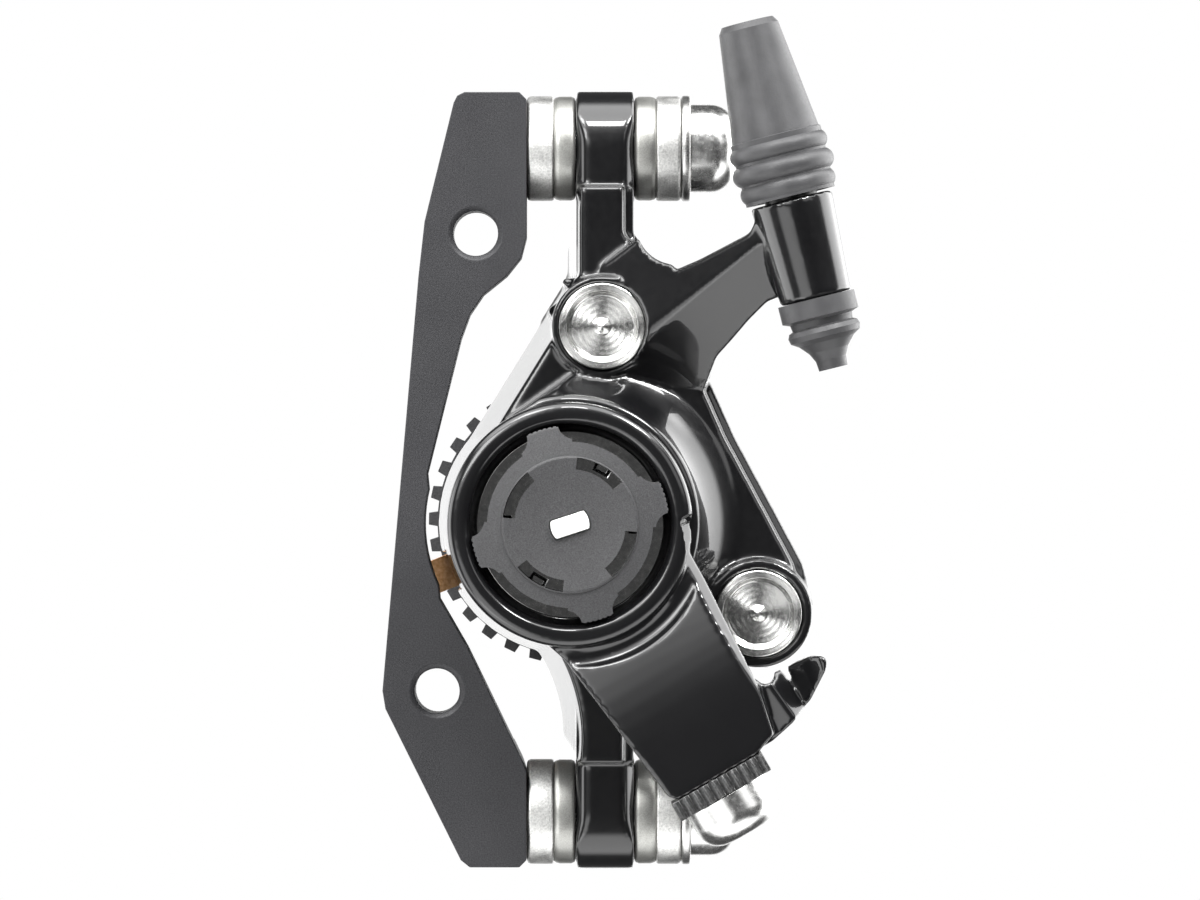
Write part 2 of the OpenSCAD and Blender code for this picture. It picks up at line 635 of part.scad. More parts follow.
// torsion spring that turns the arm back
module return_spring() color([0.5, 0.5, 0.5]) view() at_hub() {
  for (i = [0:7]) rotate([0, 0, 90 * i]) translate([0, 0, 6 + 0.27 * i])
    rotate_extrude(angle = 92) translate([9.7, 0]) circle(r = 0.5);
}
module thrust_washer() color([0.7, 0.7, 0.7]) view() at_hub()
  translate([0, 0, wash_h - wash_t]) difference() {
    union() {
      cylinder(r = bore_r - 0.15, h = wash_t);
      for (a = [0, 120, 240]) rotate([0, 0, a]) translate([bore_r - 1, -1, 0])
        cube([1.6, 2, wash_t]);
    }
    translate([0, 0, -eps]) cylinder(r = 6.6, h = 3);
  }
// a thin waved ring: three crests lean against the washer
module wave_spring() color([0.55, 0.55, 0.56]) view() at_hub() difference() {
  translate([0, 0, wash_h - wash_t - wave_t - run]) union() {
    tube(bore_r - 0.3, 8.2, 0.5);
    for (a = [60, 180, 300]) rotate([0, 0, a]) translate([0, 0, 0.4]) linear_extrude(wave_t - 0.4)
      sector(bore_r - 0.4, 8.3, 0, 14);
  }
}
module bore_clip() color([0.45, 0.45, 0.46]) view() at_hub()
  translate([0, 0, clip_h - clip_t]) linear_extrude(clip_t) difference() {
    circle(r = bore_r + 0.6);
    circle(r = 8.9);
    // open ends of the clip
    polygon([[0, 0], [-3, 20], [3, 20]]);
  }

// Outer knob and its screw
module outer_knob() color([0.09, 0.09, 0.09]) view() at_hub() {
  difference() {
    intersection() {
      slab(knob_h, knob_top + 1) knob_plan();
      // rim that falls away outside a slightly raised and dished disc
      rotate_extrude() polygon([[0, knob_h], [lobe_r + 1, knob_h], [lobe_r + 1, knob_top - 1.1],
        [lobe_r - 0.3, knob_top - 0.8], [disc_r + 0.05, knob_top - 0.35], [disc_r, knob_top - 0.15],
        [disc_r - 0.3, knob_top], [3, knob_top - dish_t], [0, knob_top - dish_t]]);
    }
    for (k = [0:3]) slab(knob_h - 1, knob_top + 1) sector(7.4, 6.1, 61.4 + 90 * k, 45);
    slab(knob_h - 1, knob_top + 1) tip_plan(0.12);
  }
}
dish_t = 0.45;
// flat on the end of the foot screw that the knob turns, and its hole with room all round
tip_l = 4.3;
tip_w = 2.05;
module tip_plan(room) rotate(18) intersection() {
  circle(d = tip_l + 2 * room);
  square([tip_l + 1, tip_w + 2 * room], center = true);
}
module knob_plan() difference() {
  union() {
    circle(r = rim_r);
    for (k = [0:3]) sector(lobe_r, 4, 16.5 + 90 * k, 36);
  }
  // concave flanks of the lobes
  for (k = [0:3], s = [-1, 1]) rotate(16.5 + 90 * k + s * 19) translate([lobe_r + 0.4, 0])
    circle(r = 1.9);
  // fine grips on the lobe tips
  for (k = [0:3], i = [-4:4]) rotate(16.5 + 90 * k + i * 3) translate([lobe_r + 0.05, 0])
    circle(r = 0.16, $fn = 8);
}
module foot_screw() color([0.8, 0.8, 0.8]) view() at_hub() {
  translate([0, 0, foot_h]) cylinder(r = 6, h = foot_t);
  translate([0, 0, foot_h + foot_t - eps])
    cylinder(r = 3.5 - run, h = knob_h - 0.4 - foot_h - foot_t + eps);
  slab(knob_h - 1, knob_top + 0.1) tip_plan(0);
}

// Pads
module pad_plan(r) intersection() {
  circle(r = r);
  rotate(tab_turn) square([2 * r, 2 * r - 2], center = true);
}
module pad_plate(z0) slab(z0, z0 + plate_t) {
  pad_plan(pad_r);
  rotate(tab_turn) polygon([[8, -tab_w / 2], [tab_l - 0.5, -tab_w / 2], [tab_l, -tab_w / 2 + 0.6],
    [tab_l, tab_w / 2 - 0.4], [tab_l - 0.4, tab_w / 2], [8, tab_w / 2]]);
}
module outer_pad_plate() color([0.72, 0.42, 0.2]) view() at_hub() pad_plate(plate_h);
module inner_pad_plate() color([0.72, 0.42, 0.2]) view() at_hub()
  pad_plate(inner_h - lining_t - plate_t);
module outer_pad_lining() color([0.3, 0.27, 0.25]) view() at_hub()
  slab(lining_h, plate_h) pad_plan(pad_r - 0.9);
module inner_pad_lining() color([0.3, 0.27, 0.25]) view() at_hub()
  slab(inner_h - lining_t, inner_h) pad_plan(pad_r - 0.9);
// sheet spring that spreads the pads, bent round the linings
module pad_spring() color([0.6, 0.6, 0.62]) view() at_hub() {
  z1 = plate_h - run;
  z0 = inner_h - lining_t + run;
  slab(z0, z1) sector(pad_r - 0.15, pad_r - 0.6, tab_turn + 180, 40);
  for (s = [-1, 1]) slab(z1 - 0.45, z1) sector(pad_r - 0.15, pad_r - 0.6, tab_turn + 180 + s * 45, 56);
  for (s = [-1, 1]) slab(z0, z0 + 0.45) sector(pad_r - 0.15, pad_r - 0.6, tab_turn + 180 + s * 45, 56);
}

// Inner adjuster
thread2_r = 4.1;
module inner_screw() color([0.7, 0.7, 0.7]) view() at_hub() {
  translate([0, 0, foot2_h - foot_t]) cylinder(r = 6, h = foot_t);
  translate([0, 0, -back_y + 1]) cylinder(r = thread2_r - run, h = foot2_h - foot_t + back_y - 1 + eps);
  translate([0, 0, -back_y - 3.6]) cylinder(r = 2.6, h = 6, $fn = 6);
}
module tooth_plan() {
  step = 360 / teeth;
  polygon([for (i = [0:teeth - 1], k = [0:3])
    [(k == 0 || k == 3 ? tooth_r - 1 : tooth_r) * cos(step * (i + [0.1, 0.17, 0.61, 0.68][k])),
     (k == 0 || k == 3 ? tooth_r - 1 : tooth_r) * sin(step * (i + [0.1, 0.17, 0.61, 0.68][k]))]]);
}
module inner_knob() color([0.12, 0.12, 0.12]) view() at_hub()
  translate([0, 0, -back_y - knob2_t - 0.4]) difference() {
    union() {
      slab(knob2_t - 2.6, knob2_t) tooth_plan();
      slab(0.8, knob2_t) circle(r = tooth_r - 1.1);
      slab(0, 1) circle(r = tooth_r - 2.2);
    }
    // recess that turns on the body's spigot
    translate([0, 0, knob2_t - spigot_l - 0.1]) cylinder(r = 9.15, h = 10);
    translate([0, 0, -1]) cylinder(r = 2.6 + run, h = 10, $fn = 6);
    // finger hollows in the back
    for (k = [0:5]) rotate([0, 0, 60 * k]) translate([11.2, 0, -1]) cylinder(r = 2.4, h = 2.4);
  }

// Cable stop fittings
module barrel_adjuster() color([0.3, 0.3, 0.3]) view() at_stop() difference() {
  union() {
    translate([0, 0, -9]) cylinder(r = barrel_r - run, h = 10);
    translate([0, 0, 0.4]) cylinder(r = 4.2, h = 3.4, $fn = 32);
    translate([0, 0, 3]) cylinder(r = 3.6, h = 6.4);
  }
  translate([0, 0, 3.6]) cylinder(d = casing_d, h = 10);
  translate([0, 0, -12]) cylinder(r = 1.2, h = 20);
}
module upper_boot() color([0.28, 0.28, 0.29]) view() at_stop() rotate_extrude()
  difference() {
    union() {
      polygon([[0, 0.3], [5, 0.3], [5.1, 7.2], [4.9, 7.3], [3.35, 19.4], [2.9, 20.1], [0, 20.1]]);
      translate([4.15, 1.5]) circle(r = 1.2);
      translate([4.5, 3.6]) circle(r = 1.2);
      translate([4.4, 5.8]) circle(r = 1.1);
    }
    translate([-10, -1]) square([10, 30]);
    // hollow for the barrel and the casing
    polygon([[-1, -1], [4.25, -1], [4.25, 3.85], [3.65, 3.85], [3.65, 9.45],
      [casing_d / 2, 9.45], [casing_d / 2, 21], [-1, 21]]);
  }
module lower_boot() color([0.28, 0.28, 0.29]) view() at_stop() translate([0, 0, -11.2 - seat])
  rotate_extrude() difference() {
    union() {
      polygon([[0, 1.6], [barrel_r - seat, 1.6], [barrel_r - seat, 0], [4.3, 0],
        [4.3, -2], [3.5, -2.3], [3.4, -3], [3.85, -3.2], [4.05, -3.7], [3.9, -4.3],
        [3.1, -4.8], [2.2, -5.8], [1.7, -6.8], [1.6, -7.9], [0, -7.9]]);
    }
    translate([-10, -20]) square([10.9, 30]);
  }

adapter_bracket();
mount_bolts();
hollow_washers();
domed_washers();
flat_washers();
outer_body();
inner_body();
body_sleeves();
body_screws();
lever_arm();
clamp_plate();
anchor_bolt();
arm_nut();
drive_cam();
shaft_seal();
return_spring();
fixed_race();
ball_cage();
ramp_balls();
thrust_washer();
wave_spring();
bore_clip();
outer_knob();
foot_screw();
outer_pad_plate();
outer_pad_lining();
inner_pad_plate();
inner_pad_lining();
pad_spring();
inner_screw();
inner_knob();
barrel_adjuster();
upper_boot();
lower_boot();
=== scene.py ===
import bpy
import bmesh
import json
import math
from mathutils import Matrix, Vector

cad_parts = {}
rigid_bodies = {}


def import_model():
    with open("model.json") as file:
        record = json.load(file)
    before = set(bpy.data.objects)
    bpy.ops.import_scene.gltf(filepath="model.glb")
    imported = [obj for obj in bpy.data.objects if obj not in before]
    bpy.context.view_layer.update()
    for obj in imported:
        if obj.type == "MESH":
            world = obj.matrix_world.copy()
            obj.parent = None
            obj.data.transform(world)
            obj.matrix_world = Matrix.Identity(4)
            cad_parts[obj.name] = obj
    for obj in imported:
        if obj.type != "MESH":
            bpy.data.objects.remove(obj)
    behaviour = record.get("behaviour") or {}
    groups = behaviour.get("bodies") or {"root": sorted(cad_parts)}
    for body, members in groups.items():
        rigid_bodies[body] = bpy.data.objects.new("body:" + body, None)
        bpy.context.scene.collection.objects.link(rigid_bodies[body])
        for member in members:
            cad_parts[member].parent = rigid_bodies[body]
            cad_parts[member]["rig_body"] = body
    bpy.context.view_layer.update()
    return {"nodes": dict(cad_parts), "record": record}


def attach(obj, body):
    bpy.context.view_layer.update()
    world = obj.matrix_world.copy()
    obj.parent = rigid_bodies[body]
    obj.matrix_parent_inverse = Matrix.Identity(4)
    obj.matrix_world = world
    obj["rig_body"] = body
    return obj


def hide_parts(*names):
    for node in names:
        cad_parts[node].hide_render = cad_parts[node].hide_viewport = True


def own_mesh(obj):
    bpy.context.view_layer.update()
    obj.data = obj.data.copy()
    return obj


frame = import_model()
NODES = frame["nodes"]
BODIES = {n: o["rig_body"] for n, o in NODES.items()}
SLOTS = {s["node"]: s["material_slot"] for s in frame["record"]["subparts"]}

MM = 0.001
# axes along Y of the arm and of the two body bolts
HUB = Vector((12.67, 0, -6.84)) * MM
UPPER_BOLT = Vector((16.2, 0, 15.04)) * MM
LOWER_BOLT = Vector((33.5, 0, -16.75)) * MM

# the arm's cup: its wall's radius and the depth where it starts, each with a soft border
CUP_RADII = (11.9 * MM, 11.5 * MM)
CUP_DEPTHS = (-14.0 * MM, -13.6 * MM)
# turned faces: pitch and height in millimetres of the fine and the coarse rings
TURNED_RINGS = ((0.11, 0.012), (0.62, 0.01))
# noise is read between these values, which hold most of it
SPAN = (0.3, 0.7)
EDGE_SAMPLES = 6
# places of a mix node's sockets for colours: factor, both colours and the result
MIX_FACTOR = 0
MIX_FIRST = 6
MIX_SECOND = 7
MIX_RESULT = 2

# these nodes have a finish other than their slot's
OWN_FINISH = {"lever_arm": "lever_black", "arm_nut": "nut_steel", "foot_screw": "tip_steel"}
# millimetres of rounding on the edges of machined and moulded pieces
EDGE_WIDTHS = {"arm_nut": 0.4, "foot_screw": 0.12, "body_sleeves": 0.15, "adapter_bracket": 0.4,
               "outer_knob": 0.14, "clamp_plate": 0.2, "hollow_washers": 0.45,
               "flat_washers": 0.25, "domed_washers": 0.5, "mount_bolts": 0.2,
               "anchor_bolt": 0.2, "inner_knob": 0.2}
EDGE_SEGMENTS = 2
# radians between faces: above this an edge is sharp, and below that a face is flat
SHARP_ANGLE = 0.6
FLAT_ANGLE = 0.02
MERGE_DISTANCE = 2e-6
# how much larger faces count for the normals
FACE_WEIGHT = 80
# how far each pass of smoothing moves a vertex
SMOOTH_FACTOR = 0.5

# soft panels that only reflections see: level, then per axis of the direction the stretch
# where the panel fades in and the one where it fades out
PANELS = (
    # white sweep behind the object
    (1.35, {"y": ((0.6, 0.85), None), "z": ((-0.5, -0.3), (0.18, 0.42))}),
    # overhead
    (5.0, {"y": ((-0.75, -0.55), (0.0, 0.3)), "z": ((0.55, 0.75), None)}),
    # from below, in front
    (2.5, {"y": ((-0.8, -0.6), (-0.1, 0.2)), "z": (None, (-0.62, -0.42))}),
    # in front, up to the left
    (3.4, {"x": ((-0.75, -0.6), (-0.32, -0.03)), "y": (None, (-0.45, -0.25)),
           "z": ((0.04, 0.26), None)}),
    # in front, down to the left
    (2.4, {"x": ((-0.75, -0.6), (-0.24, -0.05)), "y": (None, (-0.45, -0.25)),
           "z": ((-0.75, -0.6), (-0.2, -0.02))}),
    # in front, a small one to the right
    (1.6, {"x": ((0.4, 0.55), None), "y": (None, (-0.6, -0.45)),
           "z": ((0.12, 0.25), (0.4, 0.6))}),
    # wall at the left
    (3.6, {"x": (None, (-0.9, -0.75)), "y": ((-0.4, -0.2), (0.45, 0.7)),
           "z": ((-0.7, -0.5), (0.2, 0.5))}),
    # wall at the right
    (5.0, {"x": ((0.45, 0.65), None), "y": ((-0.2, 0.0), None), "z": ((-0.5, -0.2), None)}),
)
ROOM_LEVEL = 0.08

# area lights: name, place, width of the square and watts; all point at AIM
LIGHTS = (("key_top", (-0.25, -0.55, 0.75), 0.25, 2.5),
          ("key_front", (-0.5, -0.85, 0.42), 0.35, 3.0),
          ("key_right", (0.47, -0.55, 0.72), 0.25, 8.0),
          ("fill", (0.05, -0.72, 0.88), 0.2, 3.0))
AIM = (0.016, 0, 0.0)

# half the floor's width, and its height
FLOOR_HALF = 4.0
FLOOR_HEIGHT = -0.075

# the camera looks along Y; the picture is VIEW_WIDTH wide at FACE_DEPTH behind the origin
CAMERA_DISTANCE = 1.1
CAMERA_X = 0.01596
CAMERA_Z = 0.00135
FACE_DEPTH = 0.003
VIEW_WIDTH = 0.1336
SENSOR_WIDTH = 36
CLIP_NEAR = 0.01
CLIP_FAR = 20


class Tree:
    """Short ways to add nodes to one shader tree and to join them."""

    def __init__(self, tree):
        self.tree = tree

    def node(self, kind, **props):
        node = self.tree.nodes.new(kind)
        for key, value in props.items():
            setattr(node, key, value)
        return node

    def link(self, source, socket):
        self.tree.links.new(source, socket)

    def calc(self, operation, *values):
        node = self.node("ShaderNodeMath", operation=operation)
        for k, value in enumerate(values):
            if isinstance(value, (int, float)):
                node.inputs[k].default_value = value
            else:
                self.link(value, node.inputs[k])
        return node.outputs[0]

    def ramp(self, value, span, start=0.0, end=1.0, soft=False):
        """Start to end while value crosses span; soft eases both ends."""
        node = self.node("ShaderNodeMapRange")
        if soft:
            node.interpolation_type = "SMOOTHSTEP"
        node.inputs["From Min"].default_value = span[0]
        node.inputs["From Max"].default_value = span[1]
        node.inputs["To Min"].default_value = start
        node.inputs["To Max"].default_value = end
        self.link(value, node.inputs["Value"])
        return node.outputs[0]

    def axes(self, coordinates):
        node = self.node("ShaderNodeSeparateXYZ")
        self.link(coordinates, node.inputs[0])
        return dict(zip("xyz", node.outputs))


class Finish(Tree):
    """A principled material that is built step by step."""

    def __init__(self, name, base, rough, metal=0.0, coat=0.0, coat_rough=0.03,
                 spec=0.5, sheen=0.0):
        self.material = bpy.data.materials.new(name)
        self.material.use_nodes = True
        self.material.diffuse_color = (*base, 1)
        super().__init__(self.material.node_tree)
        self.shader = next(n for n in self.tree.nodes if n.type == "BSDF_PRINCIPLED")
        self.height = None
        settings = {"Base Color": (*base, 1), "Roughness": rough, "Metallic": metal,
                    "Specular IOR Level": spec, "Coat Weight": coat,
                    "Coat Roughness": coat_rough, "Sheen Weight": sheen}
        for key, value in settings.items():
            self.shader.inputs[key].default_value = value

    def coords(self):
        return self.node("ShaderNodeTexCoord").outputs["Object"]

    def noise(self, size, detail=2.0, rough=0.5, stretch=None):
        """Noise whose grains are about size millimetres wide."""
        node = self.node("ShaderNodeTexNoise")
        node.inputs["Scale"].default_value = 1.0 / (size * MM)
        node.inputs["Detail"].default_value = detail
        node.inputs["Roughness"].default_value = rough
        source = self.coords()
        if stretch:
            mapping = self.node("ShaderNodeMapping")
            mapping.inputs["Scale"].default_value = stretch
            self.link(source, mapping.inputs["Vector"])
            source = mapping.outputs[0]
        self.link(source, node.inputs["Vector"])
        return node.outputs["Fac"]

    def axis_distance(self, centre):
        """Distance from the axis along Y through centre."""
        place = self.axes(self.coords())
        across = self.calc("SUBTRACT", place["x"], centre.x)
        up = self.calc("SUBTRACT", place["z"], centre.z)
        squares = self.calc("ADD", self.calc("MULTIPLY", across, across),
                            self.calc("MULTIPLY", up, up))
        return self.calc("SQRT", squares)

    def rings(self, centres, pitch):
        """Rings from 0 to 1, pitch millimetres apart, round the nearest of the centres."""
        nearest = self.calc("MINIMUM", *(self.axis_distance(c) for c in centres))
        wave = self.calc("SINE", self.calc("MULTIPLY", nearest, 2 * math.pi / (pitch * MM)))
        return self.ramp(wave, (-1, 1))

    def tint(self, pattern, span, dark, light):
        """Base colour from dark to light while pattern crosses span."""
        mix = self.node("ShaderNodeMix", data_type="RGBA")
        mix.inputs[MIX_FIRST].default_value = (*dark, 1)
        mix.inputs[MIX_SECOND].default_value = (*light, 1)
        self.link(self.ramp(pattern, span), mix.inputs[MIX_FACTOR])
        self.link(mix.outputs[MIX_RESULT], self.shader.inputs["Base Color"])
        return self

    def roughness(self, pattern, smooth, dull):
        self.link(self.ramp(pattern, SPAN, smooth, dull), self.shader.inputs["Roughness"])
        return self

    def relief(self, pattern, depth):
        """Adds a height of depth millimetres where pattern is 1."""
        height = self.calc("MULTIPLY", pattern, depth)
        if self.height is not None:
            height = self.calc("ADD", self.height, height)
        self.height = height
        return self

    def done(self, strength, edge=0.0):
        """The material, with its relief at strength over edges rounded by edge millimetres."""
        bump = self.node("ShaderNodeBump")
        bump.inputs["Strength"].default_value = strength
        bump.inputs["Distance"].default_value = MM
        self.link(self.height, bump.inputs["Height"])
        if edge:
            bevel = self.node("ShaderNodeBevel", samples=EDGE_SAMPLES)
            bevel.inputs["Radius"].default_value = edge * MM
            self.link(bevel.outputs[0], bump.inputs["Normal"])
        self.link(bump.outputs[0], self.shader.inputs["Normal"])
        return self.material


def grained(name, base, rough, grain, relief, strength, colours=None, colour_span=SPAN,
            colour_grain=None, dullness=None, dull_grain=None, edge=0.0, **shader):
    """A material with one grain that colours, dulls and raises it.

    A grain is its size in millimetres, detail, roughness and stretch. The colours, from dark to
    light, and the dullness, from smooth to dull, follow grains of their own where one is given.
    """
    finish = Finish(name, base, rough, **shader)
    pattern = finish.noise(*grain)
    if colours:
        spots = finish.noise(*colour_grain) if colour_grain else pattern
        finish.tint(spots, colour_span, *colours)
    if dullness:
        patches = finish.noise(*dull_grain) if dull_grain else pattern
        finish.roughness(patches, *dullness)
    return finish.relief(pattern, relief).done(strength, edge)


def lacquer(name):
    """Black lacquer with a little orange peel over the slow waves of a cast face."""
    finish = Finish(name, (0.0025, 0.0025, 0.003), 0.42, coat=1.0, coat_rough=0.015, spec=0.22)
    finish.tint(finish.noise(9, 3), SPAN, (0.0018, 0.0018, 0.0022), (0.0035, 0.0035, 0.004))
    finish.roughness(finish.noise(0.7, 3), 0.28, 0.36)
    return finish.relief(finish.noise(1.6), 0.008).relief(finish.noise(13, 1), 0.3)


def lever_lacquer():
    """The body's lacquer, but the arm's cup is left as cast: rough and grainy."""
    finish = lacquer("lever_black")
    depth = finish.axes(finish.coords())["y"]
    inside = finish.ramp(finish.axis_distance(HUB), CUP_RADII)
    cup = finish.calc("MULTIPLY", inside, finish.ramp(depth, CUP_DEPTHS))
    finish.link(finish.ramp(cup, (0, 1), 1, 0.25), finish.shader.inputs["Coat Weight"])
    finish.link(finish.ramp(cup, (0, 1), 0.32, 0.5), finish.shader.inputs["Roughness"])
    grain = finish.ramp(finish.noise(0.16, 3, 0.75), (0.35, 0.65))
    return finish.relief(finish.calc("MULTIPLY", grain, cup), 0.11).done(0.7)


def turned_steel():
    """Bright steel with the rings that a lathe leaves round both body bolts."""
    finish = Finish("turned_steel", (0.78, 0.78, 0.76), 0.2, metal=1.0)
    grain = finish.noise(0.4, 3, 0.6)
    finish.tint(grain, SPAN, (0.66, 0.66, 0.65), (0.82, 0.82, 0.80))
    finish.roughness(grain, 0.12, 0.24)
    for pitch, height in TURNED_RINGS:
        finish.relief(finish.rings((UPPER_BOLT, LOWER_BOLT), pitch), height)
    return finish.relief(grain, 0.004).done(0.8)


def black_finishes():
    return {
        "bracket": grained(
            "bracket_black", (0.04, 0.04, 0.043), 0.5, metal=0.25, spec=0.4,
            grain=(0.16, 3, 0.65), relief=0.018, strength=0.8,
            colours=((0.018, 0.018, 0.020), (0.042, 0.042, 0.045)), colour_span=(0.35, 0.7),
            dullness=(0.46, 0.58), dull_grain=(6, 2)),
        "gloss_black": lacquer("gloss_black").done(0.6),
        "lever_black": lever_lacquer(),
        "knob_plastic": grained(
            "knob_black", (0.018, 0.018, 0.019), 0.48, spec=0.45,
            grain=(0.13, 3, 0.7), relief=0.035, strength=0.9,
            colours=((0.020, 0.020, 0.021), (0.054, 0.054, 0.056)), colour_span=(0.35, 0.7),
            dullness=(0.38, 0.56)),
        "inner_plastic": grained(
            "inner_knob_grey", (0.03, 0.03, 0.031), 0.45, spec=0.45,
            grain=(0.2, 3, 0.6), relief=0.02, strength=0.8,
            colours=((0.022, 0.022, 0.023), (0.045, 0.045, 0.047)), colour_span=(0.35, 0.7),
            dullness=(0.38, 0.52)),
        "boot_rubber": grained(
            "boot_rubber", (0.04, 0.04, 0.042), 0.45, spec=0.4, sheen=0.05,
            grain=(0.35, 3, 0.6), relief=0.016, strength=0.7,
            colours=((0.034, 0.034, 0.0355), (0.050, 0.050, 0.052)), colour_grain=(2.5, 3),
            dullness=(0.38, 0.5)),
        "seal_rubber": grained(
            "seal_rubber", (0.02, 0.02, 0.02), 0.6,
            grain=(0.4, 2, 0.6), relief=0.01, strength=0.6, dullness=(0.5, 0.65)),
        "barrel_black": grained(
            "barrel_black", (0.05, 0.05, 0.05), 0.35, metal=0.8, edge=0.1,
            grain=(0.3, 2, 0.6), relief=0.01, strength=0.6, dullness=(0.28, 0.42)),
        "clamp_steel": grained(
            "dark_clamp", (0.07, 0.07, 0.07), 0.4, metal=0.8,
            grain=(0.25, 3, 0.6), relief=0.02, strength=0.8,
            colours=((0.045, 0.045, 0.045), (0.12, 0.12, 0.12)), dullness=(0.3, 0.5)),
    }


def metal_finishes():
    return {
        "nut_steel": grained(
            "nut_steel", (0.62, 0.62, 0.61), 0.1, metal=1.0,
            grain=(0.8, 3, 0.6), relief=0.003, strength=0.5,
            colours=((0.5, 0.5, 0.5), (0.68, 0.68, 0.67)), dullness=(0.06, 0.14)),
        "tip_steel": grained(
            "tip_steel", (0.86, 0.86, 0.84), 0.42, metal=0.45,
            grain=(0.5, 3, 0.6), relief=0.004, strength=0.5,
            colours=((0.8, 0.8, 0.78), (0.9, 0.9, 0.88)), dullness=(0.36, 0.5)),
        "washer_steel": grained(
            "blasted_silver", (0.60, 0.60, 0.58), 0.42, metal=1.0,
            grain=(0.22, 3, 0.7), relief=0.03, strength=0.9,
            colours=((0.46, 0.46, 0.45), (0.82, 0.82, 0.80)),
            dullness=(0.36, 0.5), dull_grain=(1.5, 2)),
        "dome_steel": grained(
            "domed_grey", (0.45, 0.45, 0.43), 0.42, metal=0.9,
            grain=(0.12, 2, 0.6), relief=0.008, strength=0.7,
            colours=((0.28, 0.28, 0.265), (0.42, 0.42, 0.40)),
            dullness=(0.34, 0.46), dull_grain=(2, 2)),
        "flat_steel": grained(
            "flat_steel", (0.55, 0.55, 0.54), 0.3, metal=1.0,
            grain=(0.3, 2, 0.5, (1, 6, 6)), relief=0.006, strength=0.6, dullness=(0.22, 0.38)),
        "bolt_steel": grained(
            "polished_steel", (0.72, 0.72, 0.71), 0.26, metal=1.0,
            grain=(0.6, 2, 0.5), relief=0.003, strength=0.5,
            colours=((0.62, 0.62, 0.61), (0.78, 0.78, 0.77)), colour_grain=(1.5, 3),
            dullness=(0.2, 0.3)),
        "sleeve_steel": turned_steel(),
        "cam_steel": grained(
            "ground_steel", (0.42, 0.42, 0.42), 0.3, metal=1.0, edge=0.1,
            grain=(0.4, 3, 0.6), relief=0.008, strength=0.6, dullness=(0.22, 0.4)),
        "spring_steel": grained(
            "spring_steel", (0.34, 0.34, 0.35), 0.35, metal=1.0,
            grain=(0.3, 2, 0.6), relief=0.006, strength=0.6, dullness=(0.25, 0.45)),
        "cage_brass": grained(
            "cage_brass", (0.52, 0.38, 0.16), 0.35, metal=1.0,
            grain=(0.5, 3, 0.6), relief=0.01, strength=0.6,
            colours=((0.44, 0.31, 0.12), (0.58, 0.44, 0.20)), dullness=(0.28, 0.45)),
        "copper_plate": grained(
            "copper_plate", (0.6, 0.3, 0.14), 0.5, metal=0.1, edge=0.12,
            grain=(0.45, 4, 0.65), relief=0.04, strength=0.9,
            colours=((0.62, 0.27, 0.09), (1.0, 0.62, 0.32)), colour_span=(0.3, 0.72),
            dullness=(0.34, 0.55), dull_grain=(0.8, 3)),
        "lining": grained(
            "pad_lining", (0.10, 0.085, 0.075), 0.75, metal=0.3,
            grain=(0.35, 4, 0.75), relief=0.12, strength=1.0,
            colours=((0.05, 0.045, 0.04), (0.24, 0.16, 0.10)), colour_span=(0.4, 0.65)),
    }


MATERIALS = {**black_finishes(), **metal_finishes()}


def paint(piece, node):
    """The piece gets the finish of a CAD node."""
    piece.data.materials.clear()
    piece.data.materials.append(MATERIALS[OWN_FINISH.get(node, SLOTS[node])])


def added(name, data):
    """A new object in the scene."""
    piece = bpy.data.objects.new(name, data)
    bpy.context.scene.collection.objects.link(piece)
    return piece


def baked(rough_piece, name):
    """A new object with the modified mesh of rough_piece, which goes."""
    graph = bpy.context.evaluated_depsgraph_get()
    mesh = bpy.data.meshes.new_from_object(rough_piece.evaluated_get(graph))
    piece = added(name, mesh)
    bpy.data.objects.remove(rough_piece)
    return piece


def stand_in(piece, node):
    """The piece takes the place of a CAD node."""
    paint(piece, node)
    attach(piece, BODIES[node])
    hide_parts(node)


def soften(node, voxel, passes, keep=1.0):
    """The node gives way to a copy with the soft edges of a casting.

    The copy is remeshed in voxels of so many millimetres, smoothed, and thinned to the share
    of its triangles in keep.
    """
    rough_piece = added("tmp_" + node, NODES[node].data.copy())
    remesh = rough_piece.modifiers.new("remesh", "REMESH")
    remesh.mode = "VOXEL"
    remesh.voxel_size = voxel * MM
    remesh.adaptivity = 0.0
    smooth = rough_piece.modifiers.new("smooth", "SMOOTH")
    smooth.factor = SMOOTH_FACTOR
    smooth.iterations = passes
    if keep < 1:
        thin = rough_piece.modifiers.new("thin", "DECIMATE")
        thin.ratio = keep
    piece = baked(rough_piece, node + "_form")
    for face in piece.data.polygons:
        face.use_smooth = True
    stand_in(piece, node)


def clean_mesh(node):
    """A copy of a CAD mesh with its flat faces whole and no normals of its own."""
    work = bmesh.new()
    work.from_mesh(NODES[node].data)
    bmesh.ops.remove_doubles(work, verts=work.verts, dist=MERGE_DISTANCE)
    bmesh.ops.dissolve_limit(work, angle_limit=FLAT_ANGLE, verts=work.verts, edges=work.edges)
    mesh = bpy.data.meshes.new("tmp_" + node)
    work.to_mesh(mesh)
    work.free()
    if "custom_normal" in mesh.attributes:
        mesh.attributes.remove(mesh.attributes["custom_normal"])
    for face in mesh.polygons:
        face.use_smooth = True
    return mesh


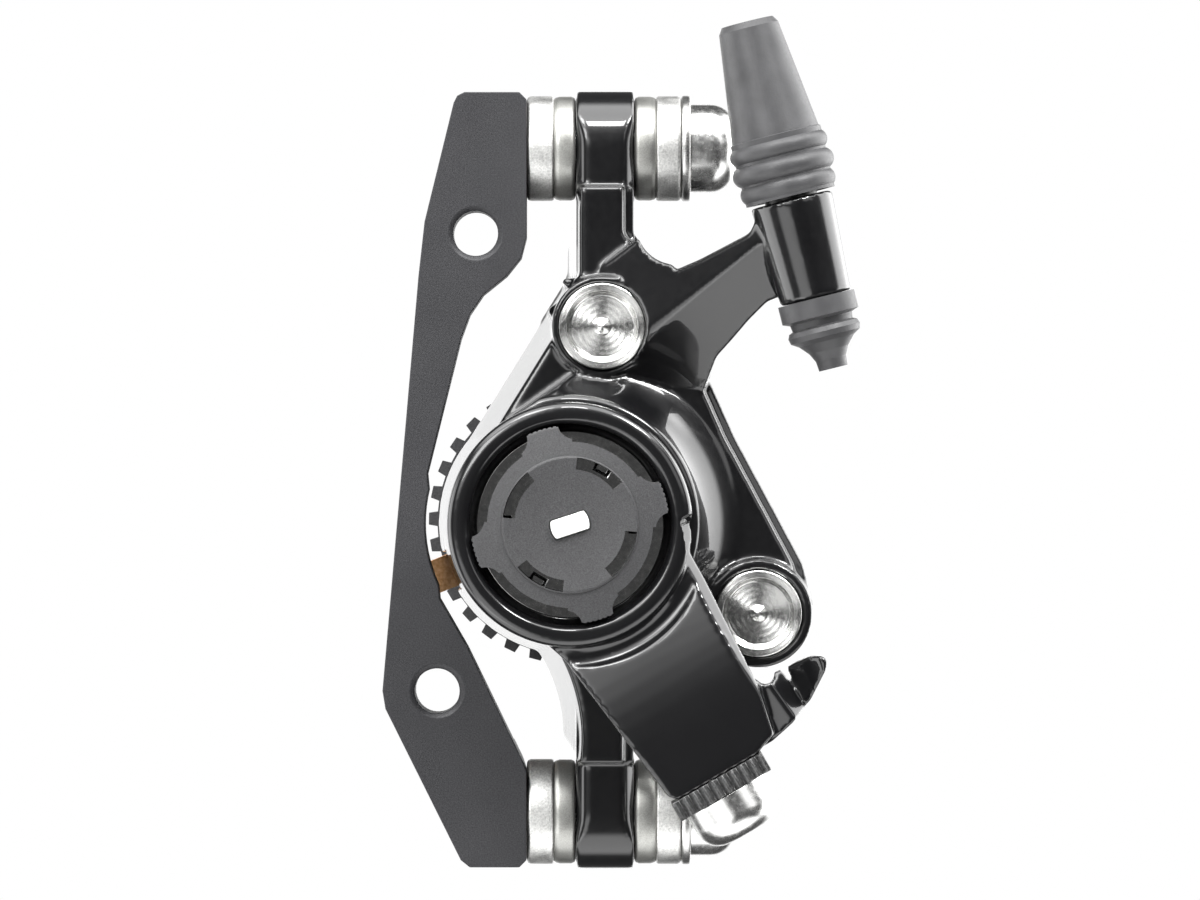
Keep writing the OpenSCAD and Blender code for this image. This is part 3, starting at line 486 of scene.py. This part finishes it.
def ease(node, width):
    """The node gives way to a copy whose sharp edges are rounded by width millimetres."""
    rough_piece = added("tmp_" + node, clean_mesh(node))
    rough_piece.matrix_world = NODES[node].matrix_world
    bevel = rough_piece.modifiers.new("bevel", "BEVEL")
    bevel.limit_method = "ANGLE"
    bevel.angle_limit = SHARP_ANGLE
    bevel.width = width * MM
    bevel.segments = EDGE_SEGMENTS
    bevel.use_clamp_overlap = True
    normals = rough_piece.modifiers.new("normals", "WEIGHTED_NORMAL")
    normals.weight = FACE_WEIGHT
    stand_in(baked(rough_piece, node + "_form"), node)


def yielding(node):
    """The node gives way to a copy with a mesh of its own."""
    piece = added(node + "_form", NODES[node].data.copy())
    piece.matrix_world = NODES[node].matrix_world
    stand_in(piece, node)
    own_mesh(piece)


def pieces():
    for node in ("return_spring", "wave_spring", "pad_spring"):
        yielding(node)
    for node, width in EDGE_WIDTHS.items():
        ease(node, width)
    soften("outer_body", voxel=0.24, passes=14, keep=0.42)
    soften("lever_arm", voxel=0.2, passes=12, keep=0.8)
    soften("inner_body", voxel=0.34, passes=4)


def world():
    """White to the camera; reflections see a dark room with soft panels."""
    studio = bpy.data.worlds.new("studio")
    bpy.context.scene.world = studio
    studio.use_nodes = True
    tree = Tree(studio.node_tree)
    tree.tree.nodes.clear()
    direction = tree.axes(tree.node("ShaderNodeTexCoord").outputs["Generated"])
    total = ROOM_LEVEL
    for level, borders in PANELS:
        light = level
        for axis, (fade_in, fade_out) in borders.items():
            if fade_in:
                share = tree.ramp(direction[axis], fade_in, 0.0, 1.0, soft=True)
                light = tree.calc("MULTIPLY", share, light)
            if fade_out:
                share = tree.ramp(direction[axis], fade_out, 1.0, 0.0, soft=True)
                light = tree.calc("MULTIPLY", share, light)
        total = tree.calc("ADD", light, total)
    room = tree.node("ShaderNodeBackground")
    tree.link(total, room.inputs["Color"])
    backdrop = tree.node("ShaderNodeBackground")
    backdrop.inputs["Color"].default_value = (1, 1, 1, 1)
    seen = tree.node("ShaderNodeLightPath").outputs["Is Camera Ray"]
    mix = tree.node("ShaderNodeMixShader")
    tree.link(seen, mix.inputs[0])
    tree.link(room.outputs[0], mix.inputs[1])
    tree.link(backdrop.outputs[0], mix.inputs[2])
    tree.link(mix.outputs[0], tree.node("ShaderNodeOutputWorld").inputs["Surface"])


def floor():
    """A plane that the camera sees white and that lets all other rays through."""
    corners = ((-1, -1), (1, -1), (1, 1), (-1, 1))
    mesh = bpy.data.meshes.new("floor")
    mesh.from_pydata([(x * FLOOR_HALF, y * FLOOR_HALF, FLOOR_HEIGHT) for x, y in corners],
                     [], [(0, 1, 2, 3)])
    white = bpy.data.materials.new("floor_white")
    white.use_nodes = True
    tree = Tree(white.node_tree)
    tree.tree.nodes.clear()
    mix = tree.node("ShaderNodeMixShader")
    tree.link(tree.node("ShaderNodeLightPath").outputs["Is Camera Ray"], mix.inputs[0])
    tree.link(tree.node("ShaderNodeBsdfTransparent").outputs[0], mix.inputs[1])
    tree.link(tree.node("ShaderNodeEmission").outputs[0], mix.inputs[2])
    tree.link(mix.outputs[0], tree.node("ShaderNodeOutputMaterial").inputs["Surface"])
    mesh.materials.append(white)
    added("floor", mesh)


def lights():
    for name, place, size, power in LIGHTS:
        lamp = bpy.data.lights.new(name, "AREA")
        lamp.shape = "SQUARE"
        lamp.size = size
        lamp.energy = power
        holder = added(name, lamp)
        holder.location = place
        aim = Vector(AIM) - Vector(place)
        holder.rotation_euler = aim.to_track_quat("-Z", "Y").to_euler()


def camera():
    lens = bpy.data.cameras.new("camera")
    lens.sensor_fit = "HORIZONTAL"
    lens.sensor_width = SENSOR_WIDTH
    lens.lens = SENSOR_WIDTH * (CAMERA_DISTANCE + FACE_DEPTH) / VIEW_WIDTH
    lens.clip_start = CLIP_NEAR
    lens.clip_end = CLIP_FAR
    holder = added("camera", lens)
    holder.location = (CAMERA_X, -CAMERA_DISTANCE, CAMERA_Z)
    holder.rotation_euler = (math.pi / 2, 0, 0)
    bpy.context.scene.camera = holder


for name, node_piece in NODES.items():
    paint(node_piece, name)
pieces()
world()
floor()
lights()
camera()
view = bpy.context.scene.view_settings
view.view_transform = "Standard"
view.look = "None"
